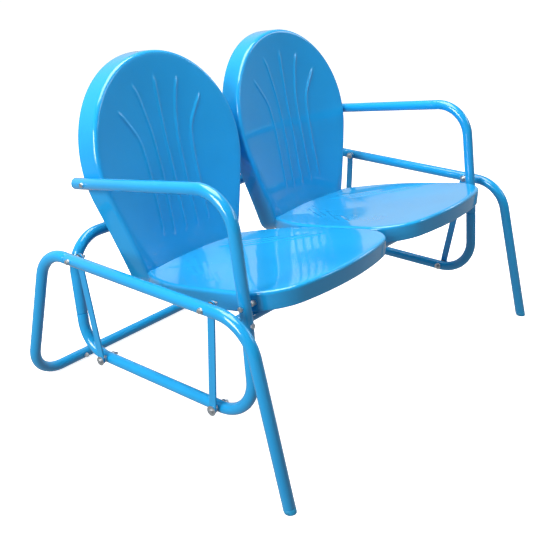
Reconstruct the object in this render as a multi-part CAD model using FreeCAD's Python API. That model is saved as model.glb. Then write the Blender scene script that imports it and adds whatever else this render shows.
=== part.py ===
"""Two-seat tulip glider: a fixed tube base, four hanger links and a swinging seat frame.

Frame: origin on the ground under the middle of the base, +X to the sitter's left,
+Y to the rear, +Z up. The front of the glider faces -Y. All sizes are millimetres.
"Left" and "right" in names are as seen by someone who stands in front: right is +X.
"""
import FreeCAD, Part
import os
from math import asin, atan2, cos, hypot, pi, radians, sin, sqrt, tan

V = FreeCAD.Vector
AXIS_X = V(1, 0, 0)
AXIS_Y = V(0, 1, 0)
AXIS_Z = V(0, 0, 1)
ORIGIN = V(0, 0, 0)

# ---- tubes ----
TUBE_R = 12.7            # outer radius of every frame tube
TUBE_WALL = 1.5
SPIGOT_R = 11.1          # reduced tube end that slides into the next tube
PLUG_R = 11.0
PLUG_LENGTH = 15.0
BAR_PLUG_LENGTH = 4.5    # short, because a bolt crosses the bar close to its end
END_CAP = 5.0            # how far a plug stands out of its tube

# ---- fixed base ----
BASE_X = 542.0           # middle plane of each side frame of the base
FOOT_Y = -382.4
RAIL_FRONT_Y = -279.0    # corner between front leg and top rail, before bending
RAIL_REAR_Y = 289.0
RAIL_Z = 363.5
GROUND_BAR_Y = 385.0
FRONT_BEND_R = 92.0
REAR_BEND_R = 85.5
GROUND_BEND_R = 87.0
RAIL_SEAM_Y = 212.0
RAIL_SPIGOT = 62.0
GROUND_SEAM_X = 372.0
GROUND_SPIGOT = 46.0
GROUND_BOLT_X = 389.0
FOOT_CAP = 8.0           # visible length of the cap under each front leg

# ---- swinging frame ----
SWING_X = 478.0          # middle plane of arm tubes and lower rails
ARM_END = (239.0, 508.1)         # (y, z) of the arm's rear end
ARM_CORNER = (-183.7, 578.8)
RISER_KNEE = (-224.8, 337.4)     # slight bend low in the front riser
LOWER_FRONT = (-248.8, 112.7)
LOWER_REAR = (251.7, 110.8)
REAR_TOP = (276.6, 372.1)        # cross tube behind the backs
ARM_BEND_R = 82.7
KNEE_BEND_R = 400.0
LOWER_FRONT_R = 83.6
LOWER_REAR_R = 73.6
REAR_TOP_R = 79.2
FRONT_SEAM_Z = 288.0
REAR_SEAM_Z = 198.0
FRONT_SPIGOT = 42.0
REAR_SPIGOT = 18.0
FRONT_JOINT_Z = 320.0    # bolt through the riser and the front seat bar
TOUCH_GAP = 0.05         # between round tubes that are clamped together
FRONT_BAR_HALF = 489.0

# ---- hanger links ----
HANGER_Y = {"front": -177.7, "rear": 195.7}      # upper pivots on the base rails
HANGER_ANGLE = {"front": 5.70, "rear": -3.76}     # link lean from vertical, bottom to the rear is positive
LINK_LENGTH = 252.5
LINK_T = 4.4
LINK_W = 18.0
LINK_TOP_X = 522.6
LINK_LOW_X = 500.6
LINK_FLAT = 20.0         # straight part beyond each eye before the bar joggles
PIVOT_R = 3.0            # M6 pivot bolt
RUN_CLEAR = 0.08         # radial running clearance of a bush on its bolt
FREE_CLEAR = 1.2         # radial clearance of the rear lower bushes, the open pivots
BUSH_WALL = 1.9
BUSH_FLANGE_R = 8.6
BUSH_FLANGE_T = 1.1
AXIAL_GAP = 0.3
UPPER_SADDLE = 1.2       # thickness at its crown of the curved washer under an upper bolt head
LOWER_SADDLE = 2.5
PIVOT_WASHER_T = 1.6
PIVOT_TAIL = 9.6         # bolt length beyond the face that its nut sits on

# ---- seats and backs ----
SEAT_X = 231.5           # middle of each seat from the middle of the glider
SHEET_T = 1.5
RIM_R = 8.0              # outer radius of the rolled rims
SEAT_FRONT_Y = -304.0
SEAT_HALF = 229.0
SEAT_FRONT_R = 650.0
SEAT_CORNER_R = 110.0
SEAT_SIDE_R = 330.0
SEAT_SIDE_Y = -70.0      # where the straight side starts to curve in
SEAT_REF = (-241.5, 380.9)       # (y, z) on the seat's top face
SEAT_SLOPE = 0.2006      # fall towards the rear
SKIRT = 40.0
BACK_ORIGIN = (173.9, 492.7)     # (y, z) of the back's local origin
BACK_LEAN = 14.5
BACK_R = 226.0           # round head of the back
BACK_CENTRE_H = 48.0
BACK_SIDE_ANGLE = 17.8   # the sides close in towards the seat
BACK_BOTTOM_H = -229.0
BACK_CORNER_R = 40.0
BACK_DEPTH = 51.0
BACK_FLARE = 4.8         # how much wider the flange is at its rear edge
BACK_CURVE_R = 2400.0    # gentle bend of the back's face over its height
BACK_DISH = 22.0         # how deep the face is hollowed, side to side, at its middle
BACK_RIM = 8.0           # flat border between the outline and the hollow
RIB_W = 10.0
RIB_RISE = 2.2
# Ribs of the back as (x, height) points from the top; those off the middle come in pairs.
BACK_RIBS = (
    ((0.0, 226.0), (0.0, 40.0), (0.0, -146.0)),
    ((73.0, 212.0), (57.0, 172.0), (41.0, 100.0), (37.0, 40.0), (36.0, -30.0), (38.0, -100.0), (40.0, -146.0)),
    ((133.0, 162.0), (104.0, 123.0), (84.0, 88.0), (76.0, 40.0), (74.0, -20.0), (74.0, -80.0), (76.0, -138.0)),
)

# ---- fasteners, struts and tabs ----
M6_R = 3.0
SPACER_R = 6.0
SIDE_BOLT_Z = 356.0
TAB_Y = -169.0           # bolt through the inner skirts and the front bar's tabs
TAB_Z = 346.0
TAB_T = 3.0
TAB_W = 22.0
TAB_FRONT_Y = -180.0
TAB_TOP_Z = 355.0
PAN_LINK_Y = -90.0
ARM_BOLT_Y = 208.0
BACK_BOLT_H = -212.0
BACK_BOLT_X = 90.0
STRUT_OFFSET = 92.0      # struts each side of a back's middle
STRUT_W = 25.0
STRUT_T = 4.0
STRUT_BOLT_H = -82.0


# ---------------------------------------------------------------- helpers
def unit(vector):
    result = V(vector)
    result.normalize()
    return result


def cylinder(radius, start, end):
    direction = end - start
    return Part.makeCylinder(radius, direction.Length, start, direction)


def box(x_range, y_range, z_range):
    size = [high - low for low, high in (x_range, y_range, z_range)]
    return Part.makeBox(size[0], size[1], size[2], V(x_range[0], y_range[0], z_range[0]))


def bent_wire(points, radii):
    """Straight runs joined by tangent arcs; one radius for each inner point."""
    edges = []
    cursor = points[0]
    for index, radius in enumerate(radii, start=1):
        corner = points[index]
        to_last = unit(points[index - 1] - corner)
        to_next = unit(points[index + 1] - corner)
        half_angle = to_last.getAngle(to_next) / 2
        tangent = radius / tan(half_angle)
        first = corner + to_last * tangent
        last = corner + to_next * tangent
        bisector = unit(to_last + to_next)
        middle = corner + bisector * (radius / sin(half_angle) - radius)
        edges.append(Part.LineSegment(cursor, first).toShape())
        edges.append(Part.Arc(first, middle, last).toShape())
        cursor = last
    edges.append(Part.LineSegment(cursor, points[-1]).toShape())
    return Part.Wire(edges)


def swept(wire, points, radius):
    circle = Part.Wire(Part.makeCircle(radius, points[0], points[1] - points[0]))
    return wire.makePipeShell([circle], True, False)


def tube(points, radii, radius=TUBE_R, wall=TUBE_WALL):
    wire = bent_wire(points, radii)
    return swept(wire, points, radius).cut(swept(wire, points, radius - wall))


def straight_tube(start, end, radius=TUBE_R, wall=TUBE_WALL):
    return cylinder(radius, start, end).cut(cylinder(radius - wall, start, end))


def spigot(seam, end):
    """Reduced tube end with a short shoulder that joins it to the full tube behind the seam."""
    inward = unit(end - seam)
    sleeve = straight_tube(seam - inward * 3, end, SPIGOT_R)
    shoulder = straight_tube(seam - inward * 3, seam, TUBE_R - 0.5, TUBE_R - SPIGOT_R + 0.5)
    return sleeve.fuse(shoulder)


def mirrored(shape):
    return shape.mirror(ORIGIN, AXIS_X)


def both_sides(shape):
    return [mirrored(shape), shape]


def group(shapes):
    """Several separate solids in one shape."""
    solids = []
    for shape in shapes:
        solids.extend(shape.Solids)
    return Part.makeCompound(solids)


def along(line_a, line_b, z):
    """Point (y, z) on the line through two (y, z) points at a given height."""
    share = (z - line_a[1]) / (line_b[1] - line_a[1])
    return line_a[0] + share * (line_b[0] - line_a[0]), z


def pierce(shape, radius, start, end):
    return shape.cut(cylinder(radius, start, end))


def hexagon(across_flats, height, start, direction):
    corner_r = across_flats / sqrt(3)
    points = [V(corner_r * cos(i * pi / 3), corner_r * sin(i * pi / 3), 0) for i in range(7)]
    prism = Part.Face(Part.makePolygon(points)).extrude(V(0, 0, height))
    chamfer = Part.makeCone(corner_r * 1.35, across_flats * 0.47, height * 1.0)
    prism = prism.common(chamfer.fuse(Part.makeCylinder(corner_r * 2, height * 0.72)))
    prism.Placement = FreeCAD.Placement(start, FreeCAD.Rotation(AXIS_Z, direction))
    return prism


def bolt(radius, head_start, tip):
    """Hex bolt: the head lies behind head_start, the shank runs from there to tip."""
    direction = unit(tip - head_start)
    head_height = radius * 1.3
    head = hexagon(radius * 3.25, head_height, head_start, direction * -1)
    return head.fuse(cylinder(radius, head_start, tip)).removeSplitter()


def nut(radius, start, direction):
    """Lock nut with its round collar, threaded over a bolt of the given radius."""
    direction = unit(direction)
    body = hexagon(radius * 3.25, radius * 1.4, start, direction)
    collar = cylinder(radius * 1.45, start, start + direction * radius * 2.0)
    bore_start = start - direction
    bore_end = start + direction * radius * 3
    return body.fuse(collar).removeSplitter().cut(cylinder(radius, bore_start, bore_end))


def ring(outer, inner, start, end):
    reach = unit(end - start)
    return cylinder(outer, start, end).cut(cylinder(inner, start - reach, end + reach))


def plug(end, inward, cap_length, stem_length):
    """Cap that closes a tube end, with a rounded nose; inward points into the tube."""
    nose = 3.0
    shoulder = nose * (1 - cos(pi / 4))
    rim = [
        Part.LineSegment(V(0, 0, -cap_length), V(TUBE_R - nose, 0, -cap_length)),
        Part.Arc(
            V(TUBE_R - nose, 0, -cap_length),
            V(TUBE_R - shoulder, 0, shoulder - cap_length),
            V(TUBE_R, 0, nose - cap_length),
        ),
        Part.LineSegment(V(TUBE_R, 0, nose - cap_length), V(TUBE_R, 0, 0)),
        Part.LineSegment(V(TUBE_R, 0, 0), V(PLUG_R, 0, 0)),
        Part.LineSegment(V(PLUG_R, 0, 0), V(PLUG_R, 0, stem_length)),
        Part.LineSegment(V(PLUG_R, 0, stem_length), V(0, 0, stem_length)),
        Part.LineSegment(V(0, 0, stem_length), V(0, 0, -cap_length)),
    ]
    profile = Part.Wire([edge.toShape() for edge in rim])
    solid = Part.Face(profile).revolve(ORIGIN, AXIS_Z, 360)
    solid.Placement = FreeCAD.Placement(end, FreeCAD.Rotation(AXIS_Z, unit(inward)))
    return solid


# ---------------------------------------------------------------- fixed base
def rail_axis(y, x=BASE_X):
    return V(x, y, RAIL_Z)


def foot_axis():
    foot = V(BASE_X, FOOT_Y, 0)
    knee = V(BASE_X, RAIL_FRONT_Y, RAIL_Z)
    return foot, unit(knee - foot)


def front_leg():
    foot, up = foot_axis()
    start = foot + up * FOOT_CAP
    knee = V(BASE_X, RAIL_FRONT_Y, RAIL_Z)
    shape = tube([start, knee, rail_axis(RAIL_SEAM_Y)], [FRONT_BEND_R])
    for y in HANGER_Y.values():
        shape = pierce(shape, PIVOT_R, rail_axis(y, BASE_X - 20), rail_axis(y, BASE_X + 20))
    return shape


def foot_cap():
    """Plug under the front leg, cut level where it stands on the ground."""
    foot, up = foot_axis()
    cap = plug(foot + up * FOOT_CAP, up, FOOT_CAP + 5.5, PLUG_LENGTH)
    below = box((BASE_X - 50, BASE_X + 50), (FOOT_Y - 50, FOOT_Y + 50), (-40, 0))
    return cap.cut(below)


def rear_leg():
    top = rail_axis(RAIL_REAR_Y)
    low = V(BASE_X, GROUND_BAR_Y, TUBE_R)
    points = [rail_axis(RAIL_SEAM_Y), top, low, V(GROUND_SEAM_X, GROUND_BAR_Y, TUBE_R)]
    shape = tube(points, [REAR_BEND_R, GROUND_BEND_R])
    spigot_end = rail_axis(RAIL_SEAM_Y - RAIL_SPIGOT)
    shape = shape.fuse(spigot(rail_axis(RAIL_SEAM_Y), spigot_end)).removeSplitter()
    y = HANGER_Y["rear"]
    shape = pierce(shape, PIVOT_R, rail_axis(y, BASE_X - 20), rail_axis(y, BASE_X + 20))
    return ground_bolt_hole(shape)


def ground_bolt_hole(shape):
    start = V(GROUND_BOLT_X, GROUND_BAR_Y - 20, TUBE_R)
    return pierce(shape, M6_R, start, start + V(0, 40, 0))


def rear_ground_bar():
    seam = V(GROUND_SEAM_X, GROUND_BAR_Y, TUBE_R)
    reduced_end = spigot(seam, seam + V(GROUND_SPIGOT, 0, 0))
    shape = straight_tube(mirror_point(seam), seam).fuse(both_sides(reduced_end))
    shape = ground_bolt_hole(shape.removeSplitter())
    return mirrored(ground_bolt_hole(mirrored(shape)))


def mirror_point(point):
    return V(-point.x, point.y, point.z)


def ground_joint_bolt():
    """Low round head behind the tube, thread end in front."""
    rear = V(GROUND_BOLT_X, GROUND_BAR_Y + TUBE_R, TUBE_R)
    head = Part.makeCone(6.2, 4.4, 2.5, rear, AXIS_Y)
    shank = cylinder(M6_R, rear - AXIS_Y * (2 * TUBE_R + 8), rear)
    return head.fuse(shank).removeSplitter()


def ground_joint_nut():
    return nut(M6_R, V(GROUND_BOLT_X, GROUND_BAR_Y - TUBE_R, TUBE_R), AXIS_Y * -1)


# ---------------------------------------------------------------- pivots
SWING_IN = SWING_X - TUBE_R
LINK_TOP_OUT = LINK_TOP_X + LINK_T / 2
LINK_TOP_IN = LINK_TOP_X - LINK_T / 2
LINK_LOW_OUT = LINK_LOW_X + LINK_T / 2
LINK_LOW_IN = LINK_LOW_X - LINK_T / 2


def upper_pivot(end):
    return V(0, HANGER_Y[end], RAIL_Z)


def lower_pivot(end):
    angle = radians(HANGER_ANGLE[end])
    return upper_pivot(end) + V(0, LINK_LENGTH * sin(angle), -LINK_LENGTH * cos(angle))


def at_x(point, x):
    return V(x, point.y, point.z)


def against_tube(piece, tube_solid):
    """Trim a washer or spacer to sit on a round tube."""
    return piece.cut(tube_solid)


def rail_core():
    return cylinder(TUBE_R, rail_axis(-250), rail_axis(250))


def lower_rail_core():
    points = lower_rail_points()
    return swept(bent_wire(points, [LOWER_FRONT_R, LOWER_REAR_R]), points, TUBE_R)


def upper_pivot_pieces(end):
    centre = upper_pivot(end)
    outside = BASE_X + TUBE_R + UPPER_SADDLE
    spacer_end = LINK_TOP_OUT + BUSH_FLANGE_T + AXIAL_GAP
    washer_start = LINK_TOP_IN - AXIAL_GAP
    washer_end = washer_start - PIVOT_WASHER_T
    saddle = ring(6.4, PIVOT_R, at_x(centre, BASE_X), at_x(centre, outside))
    spacer = ring(7.5, PIVOT_R, at_x(centre, spacer_end), at_x(centre, BASE_X))
    return {
        "bolts": bolt(PIVOT_R, at_x(centre, outside), at_x(centre, washer_end - PIVOT_TAIL)),
        "saddles": against_tube(saddle, rail_core()),
        "spacers": against_tube(spacer, rail_core()),
        "washers": ring(8.5, PIVOT_R, at_x(centre, washer_end), at_x(centre, washer_start)),
        "nuts": nut(PIVOT_R, at_x(centre, washer_end), AXIS_X * -1),
    }


def lower_pivot_pieces(end):
    centre = lower_pivot(end)
    spacer_end = LINK_LOW_IN - BUSH_FLANGE_T - AXIAL_GAP
    washer_start = LINK_LOW_OUT + AXIAL_GAP
    washer_end = washer_start + PIVOT_WASHER_T
    inside = SWING_IN - LOWER_SADDLE
    spacer = ring(7.5, PIVOT_R, at_x(centre, SWING_X), at_x(centre, spacer_end))
    saddle = ring(8.5, PIVOT_R, at_x(centre, inside), at_x(centre, SWING_X))
    return {
        "bolts": bolt(PIVOT_R, at_x(centre, washer_end), at_x(centre, inside - PIVOT_TAIL)),
        "washers": ring(11.0, PIVOT_R, at_x(centre, washer_start), at_x(centre, washer_end)),
        "spacers": against_tube(spacer, lower_rail_core()),
        "saddles": against_tube(saddle, lower_rail_core()),
        "nuts": nut(PIVOT_R, at_x(centre, inside), AXIS_X * -1),
    }


# ---------------------------------------------------------------- hanger links
def bush_bore(end, low):
    loose = end == "rear" and low
    return PIVOT_R + (FREE_CLEAR if loose else RUN_CLEAR)


def link(end):
    """Joggled flat bar with a round eye at each pivot, drawn upright and then leaned."""
    half_w = LINK_W / 2
    top = LINK_TOP_X
    low = LINK_LOW_X
    centre_line = [
        (top, half_w),
        (top, -LINK_FLAT),
        (low, LINK_FLAT - LINK_LENGTH),
        (low, -LINK_LENGTH - half_w),
    ]
    outer = [V(x + LINK_T / 2, 0, z) for x, z in centre_line]
    inner = [V(x - LINK_T / 2, 0, z) for x, z in reversed(centre_line)]
    profile = Part.makePolygon(outer + inner + outer[:1])
    bar = Part.Face(profile).extrude(V(0, LINK_W, 0))
    bar.translate(V(0, -half_w, 0))
    silhouette = box((low - 20, top + 20), (-half_w, half_w), (-LINK_LENGTH, 0))
    for z in (0, -LINK_LENGTH):
        silhouette = silhouette.fuse(cylinder(half_w, V(low - 20, 0, z), V(top + 20, 0, z)))
    bar = bar.common(silhouette)
    for z, is_low in ((0, False), (-LINK_LENGTH, True)):
        eye = bush_bore(end, is_low) + BUSH_WALL
        bar = pierce(bar, eye, V(low - 20, 0, z), V(top + 20, 0, z))
    return leaned(bar.removeSplitter(), end)


def bushes(end):
    """Flanged bush in each eye; the flange faces the tube it hangs from."""
    pieces = []
    for z, is_low in ((0, False), (-LINK_LENGTH, True)):
        bore = bush_bore(end, is_low)
        plate = (LINK_LOW_IN, LINK_LOW_OUT) if is_low else (LINK_TOP_IN, LINK_TOP_OUT)
        flange_x = plate[0] - BUSH_FLANGE_T if is_low else plate[1]
        sleeve = cylinder(bore + BUSH_WALL, V(plate[0], 0, z), V(plate[1], 0, z))
        flange = cylinder(BUSH_FLANGE_R, V(flange_x, 0, z), V(flange_x + BUSH_FLANGE_T, 0, z))
        solid = sleeve.fuse(flange).removeSplitter()
        pieces.append(pierce(solid, bore, V(plate[0] - 5, 0, z), V(plate[1] + 5, 0, z)))
    return leaned(group(pieces), end)


def leaned(shape, end):
    result = shape.copy()
    result.rotate(ORIGIN, AXIS_X, HANGER_ANGLE[end])
    result.translate(upper_pivot(end))
    return result


# ---------------------------------------------------------------- swinging frame
def on_swing(point):
    return V(SWING_X, point[0], point[1])


def riser_point(z):
    return on_swing(along(RISER_KNEE, LOWER_FRONT, z))


def rear_riser_point(z):
    return on_swing(along(LOWER_REAR, REAR_TOP, z))


def lower_hole(shape):
    for end in HANGER_Y:
        centre = lower_pivot(end)
        shape = pierce(shape, PIVOT_R, at_x(centre, SWING_X - 20), at_x(centre, SWING_X + 20))
    return shape


def across(line_a, line_b):
    """Unit vector square to a line through two (y, z) points, towards the rear."""
    length = hypot(line_b[0] - line_a[0], line_b[1] - line_a[1])
    return V(0, (line_b[1] - line_a[1]) / length, (line_a[0] - line_b[0]) / length)


def front_joint_line():
    direction = across(LOWER_FRONT, RISER_KNEE)
    centre = riser_point(FRONT_JOINT_Z)
    return centre - direction * TUBE_R, centre + direction * (3 * TUBE_R + 8)


def front_bar_point(x):
    centre = riser_point(FRONT_JOINT_Z) + across(LOWER_FRONT, RISER_KNEE) * (2 * TUBE_R + TOUCH_GAP)
    return at_x(centre, x)


def rear_joint_line():
    direction = across(LOWER_REAR, REAR_TOP)
    centre = rear_riser_point(REAR_SEAM_Z - 9)
    return centre + direction * TUBE_R, centre - direction * (TUBE_R - 4)


def side_bolt_centre():
    return on_swing(along(ARM_CORNER, RISER_KNEE, SIDE_BOLT_Z))


def arm_bolt_centre():
    share = (ARM_BOLT_Y - ARM_CORNER[0]) / (ARM_END[0] - ARM_CORNER[0])
    return V(SWING_X, ARM_BOLT_Y, ARM_CORNER[1] + share * (ARM_END[1] - ARM_CORNER[1]))


def arm():
    points = [on_swing(ARM_END), on_swing(ARM_CORNER), on_swing(RISER_KNEE), riser_point(FRONT_SEAM_Z)]
    shape = tube(points, [ARM_BEND_R, KNEE_BEND_R])
    for centre in (side_bolt_centre(), arm_bolt_centre()):
        shape = pierce(shape, M6_R, centre - AXIS_X * 20, centre + AXIS_X * 20)
    return pierce(shape, M6_R, *front_joint_line())


def lower_rail_points():
    corners = [on_swing(LOWER_FRONT), on_swing(LOWER_REAR)]
    return [riser_point(FRONT_SEAM_Z)] + corners + [rear_riser_point(REAR_SEAM_Z)]


def lower_rail():
    shape = tube(lower_rail_points(), [LOWER_FRONT_R, LOWER_REAR_R])
    reduced_end = spigot(riser_point(FRONT_SEAM_Z), riser_point(FRONT_SEAM_Z + FRONT_SPIGOT))
    shape = lower_hole(shape.fuse(reduced_end).removeSplitter())
    shape = pierce(shape, M6_R, *front_joint_line())
    return pierce(shape, 2.0, *rear_joint_line())


def rear_frame_tube():
    side = rear_riser_point(REAR_SEAM_Z)
    top = on_swing(REAR_TOP)
    points = [side, top, mirror_point(top), mirror_point(side)]
    shape = tube(points, [REAR_TOP_R, REAR_TOP_R])
    reduced_end = spigot(rear_riser_point(REAR_SEAM_Z), rear_riser_point(REAR_SEAM_Z - REAR_SPIGOT))
    shape = shape.fuse(both_sides(reduced_end)).removeSplitter()
    shape = pierce(shape, 2.0, *rear_joint_line())
    shape = mirrored(pierce(mirrored(shape), 2.0, *rear_joint_line()))
    for x in strut_places():
        shape = pierce(shape, 2.0, V(x, REAR_TOP[0], REAR_TOP[1]), V(x, REAR_TOP[0], REAR_TOP[1] + 20))
    return shape


def front_seat_bar():
    """Cross tube under the seats with two welded tabs."""
    end = front_bar_point(FRONT_BAR_HALF)
    shape = straight_tube(mirror_point(end), end).fuse(seat_tabs()).removeSplitter()
    shape = pierce(shape, M6_R, *front_joint_line())
    return mirrored(pierce(mirrored(shape), M6_R, *front_joint_line()))


def front_joint_pieces():
    start, tip = front_joint_line()
    direction = unit(tip - start)
    nut_start = front_bar_point(SWING_X) + direction * (TUBE_R + TOUCH_GAP)
    return bolt(M6_R, start, tip), nut(M6_R, nut_start, direction)


def rear_joint_screw():
    start, tip = rear_joint_line()
    return bolt(2.0, start, tip)


# ---------------------------------------------------------------- seats
def seat_outline(inset):
    """Clamshell plan: broad round front, straight sides, sides closing in to the rear."""
    front_r = SEAT_FRONT_R - inset
    corner_r = SEAT_CORNER_R - inset
    side_r = SEAT_SIDE_R - inset
    half = SEAT_HALF - inset
    front_cy = SEAT_FRONT_Y + SEAT_FRONT_R
    corner_cx = SEAT_HALF - SEAT_CORNER_R
    corner_cy = front_cy - sqrt((SEAT_FRONT_R - SEAT_CORNER_R) ** 2 - corner_cx ** 2)
    side_cx = SEAT_HALF - SEAT_SIDE_R
    tilt = atan2(corner_cx, front_cy - corner_cy)
    half_tilt = (tilt + pi / 2) / 2
    rear_y = 200.0
    side_end = asin((rear_y - SEAT_SIDE_Y) / side_r)

    def on_corner(angle):
        return V(corner_cx + corner_r * sin(angle), corner_cy - corner_r * cos(angle), 0)

    def on_side(angle):
        return V(side_cx + side_r * cos(angle), SEAT_SIDE_Y + side_r * sin(angle), 0)

    front_mid = V(0, front_cy - front_r, 0)
    joint = on_corner(tilt)
    side_joint = V(-half, SEAT_SIDE_Y, 0)
    edges = [
        Part.Arc(mirror_point(joint), front_mid, joint),
        Part.Arc(joint, on_corner(half_tilt), on_corner(pi / 2)),
        Part.LineSegment(V(half, corner_cy, 0), V(half, SEAT_SIDE_Y, 0)),
        Part.Arc(V(half, SEAT_SIDE_Y, 0), on_side(side_end / 2), on_side(side_end)),
        Part.LineSegment(on_side(side_end), mirror_point(on_side(side_end))),
        Part.Arc(mirror_point(on_side(side_end)), mirror_point(on_side(side_end / 2)), side_joint),
        Part.LineSegment(side_joint, V(-half, corner_cy, 0)),
        Part.Arc(V(-half, corner_cy, 0), mirror_point(on_corner(half_tilt)), mirror_point(joint)),
    ]
    return Part.Wire([edge.toShape() for edge in edges])


def seat_top(y):
    return SEAT_REF[1] - SEAT_SLOPE * (y - SEAT_REF[0])


def seat_block(inset, top_drop, bottom_drop):
    """Solid inside the seat's outline between two heights below its top face, cut at the back's face."""
    column = Part.Face(seat_outline(inset)).extrude(V(0, 0, 600))
    y_low = SEAT_FRONT_Y - 20
    y_high = 220.0
    corners = [(y_low, top_drop), (y_high, top_drop), (y_high, bottom_drop), (y_low, bottom_drop)]
    points = [V(-300, y, seat_top(y) - drop) for y, drop in corners]
    slab = Part.Face(Part.makePolygon(points + points[:1])).extrude(V(600, 0, 0))
    block = column.common(slab).common(to_back(in_front(-inset)))
    return block.removeSplitter()


def rounded_rim(block, radius, is_rim):
    edges = [edge for edge in block.Edges if is_rim(edge)]
    return block.makeFillet(radius, edges)


def seat_rim_edge(edge):
    points = edge.discretize(5)
    return all(abs(point.z - seat_top(point.y)) < RIM_R and point.y < 105 for point in points)


def seat_pan():
    outer = rounded_rim(seat_block(0, 0, SKIRT), RIM_R, seat_rim_edge)
    inner = seat_block(SHEET_T, SHEET_T, SKIRT + 20)
    inner = rounded_rim(inner, RIM_R - SHEET_T, seat_rim_edge)
    pan = outer.cut(inner)
    for start, end in seat_pan_bores():
        pan = pierce(pan, M6_R, start, end)
    return pan


def seat_pan_bores():
    """Bolt lines through one pan, in the pan's own frame, for a pan on the +X side."""
    bores = []
    side = side_bolt_centre() - V(SEAT_X, 0, 0)
    bores.append((V(150, side.y, side.z), side))
    for y, z in ((TAB_Y, TAB_Z), (PAN_LINK_Y, pan_link_z())):
        bores.append((V(-SEAT_HALF - 20, y, z), V(-150, y, z)))
    for x in back_bolt_places():
        point, normal = on_back(x, BACK_BOLT_H)
        bores.append((point - normal * 10, point + normal * 10))
    return bores


def pan_link_z():
    return seat_top(PAN_LINK_Y) - SKIRT / 2


# ---------------------------------------------------------------- backs
def back_bolt_places():
    return (-BACK_BOLT_X, BACK_BOLT_X)


def to_back(shape):
    """From the back's own frame (x across, y into the shell, z up the back) to the seat's frame."""
    result = shape.copy()
    result.rotate(ORIGIN, AXIS_X, -BACK_LEAN)
    result.translate(V(0, BACK_ORIGIN[0], BACK_ORIGIN[1]))
    return result


def back_sag(h):
    return BACK_CURVE_R - sqrt(BACK_CURVE_R ** 2 - h ** 2)


def hollow_radius(half):
    """Radius of the arc across the face that is BACK_DISH deep between two points half apart."""
    return (half ** 2 + BACK_DISH ** 2) / (2 * BACK_DISH)


def hollow_levels():
    """(height, arc radius) where the hollow's cross-sections are set, from the head down."""
    angle = radians(BACK_SIDE_ANGLE)
    tangent_h = BACK_CENTRE_H - BACK_R * sin(angle)
    low = BACK_BOTTOM_H - 30
    half = BACK_R * cos(angle) - BACK_RIM
    return (
        (BACK_CENTRE_H, hollow_radius(BACK_R - BACK_RIM)),
        (tangent_h, hollow_radius(half)),
        (low, hollow_radius(half - (tangent_h - low) * tan(angle))),
    )


def face_depth(x, h):
    """Depth of the back's face behind its rim, below the round head."""
    _, (high, high_r), (low, low_r) = hollow_levels()
    radius = low_r + (high_r - low_r) * (h - low) / (high - low)
    return BACK_DISH - radius + sqrt(radius ** 2 - x ** 2)


def on_back(x, h):
    """Point on the back's front face, below its round head, and the normal into the shell."""
    lean = radians(BACK_LEAN)
    depth = face_depth(x, h)
    slope_x = face_depth(x + 0.5, h) - face_depth(x - 0.5, h)
    slope_h = face_depth(x, h + 0.5) - face_depth(x, h - 0.5)
    y = BACK_ORIGIN[0] + h * sin(lean) + depth * cos(lean)
    z = BACK_ORIGIN[1] + h * cos(lean) - depth * sin(lean)
    normal = V(-slope_x, cos(lean) - slope_h * sin(lean), -sin(lean) - slope_h * cos(lean))
    return V(x, y, z), unit(normal)


def hollow(offset):
    """Solid that fills the dished middle of the face, grown to the rear by offset."""
    rings = []
    for h, radius in hollow_levels():
        circle = Part.makeCircle(radius + offset, V(0, BACK_DISH - radius, h), AXIS_Z)
        rings.append(Part.Wire(circle))
    lower = Part.makeLoft(rings, True, True)
    radius = hollow_levels()[0][1]
    head = Part.makeSphere(radius + offset, V(0, BACK_DISH - radius, BACK_CENTRE_H), AXIS_Z, 0, 90, 360)
    near = box((-330, 330), (-520, 200), (BACK_BOTTOM_H - 20, 330))
    return head.fuse(lower).common(near)


def in_front(offset):
    """Everything in front of the back's face, moved to the rear by offset, in the back's own frame."""
    slab = back_band(-520.0, offset, BACK_BOTTOM_H - 20, 330.0)
    return slab.fuse(hollow(offset))


def back_band(front, rear, h_low, h_high):
    """Curved slab between two depths behind the front face."""
    def face_arc(depth, start, end):
        radius = BACK_CURVE_R - depth
        points = []
        for h in (start, (start + end) / 2, end):
            points.append(V(-400, BACK_CURVE_R - sqrt(radius ** 2 - h ** 2), h))
        return Part.Arc(*points), points[0], points[2]

    front_arc, front_low, front_high = face_arc(front, h_low, h_high)
    rear_arc, rear_high, rear_low = face_arc(rear, h_high, h_low)
    top = Part.LineSegment(front_high, rear_high)
    bottom = Part.LineSegment(rear_low, front_low)
    edges = [front_arc, top, rear_arc, bottom]
    wire = Part.Wire([edge.toShape() for edge in edges])
    return Part.Face(wire).extrude(V(800, 0, 0))


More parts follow.
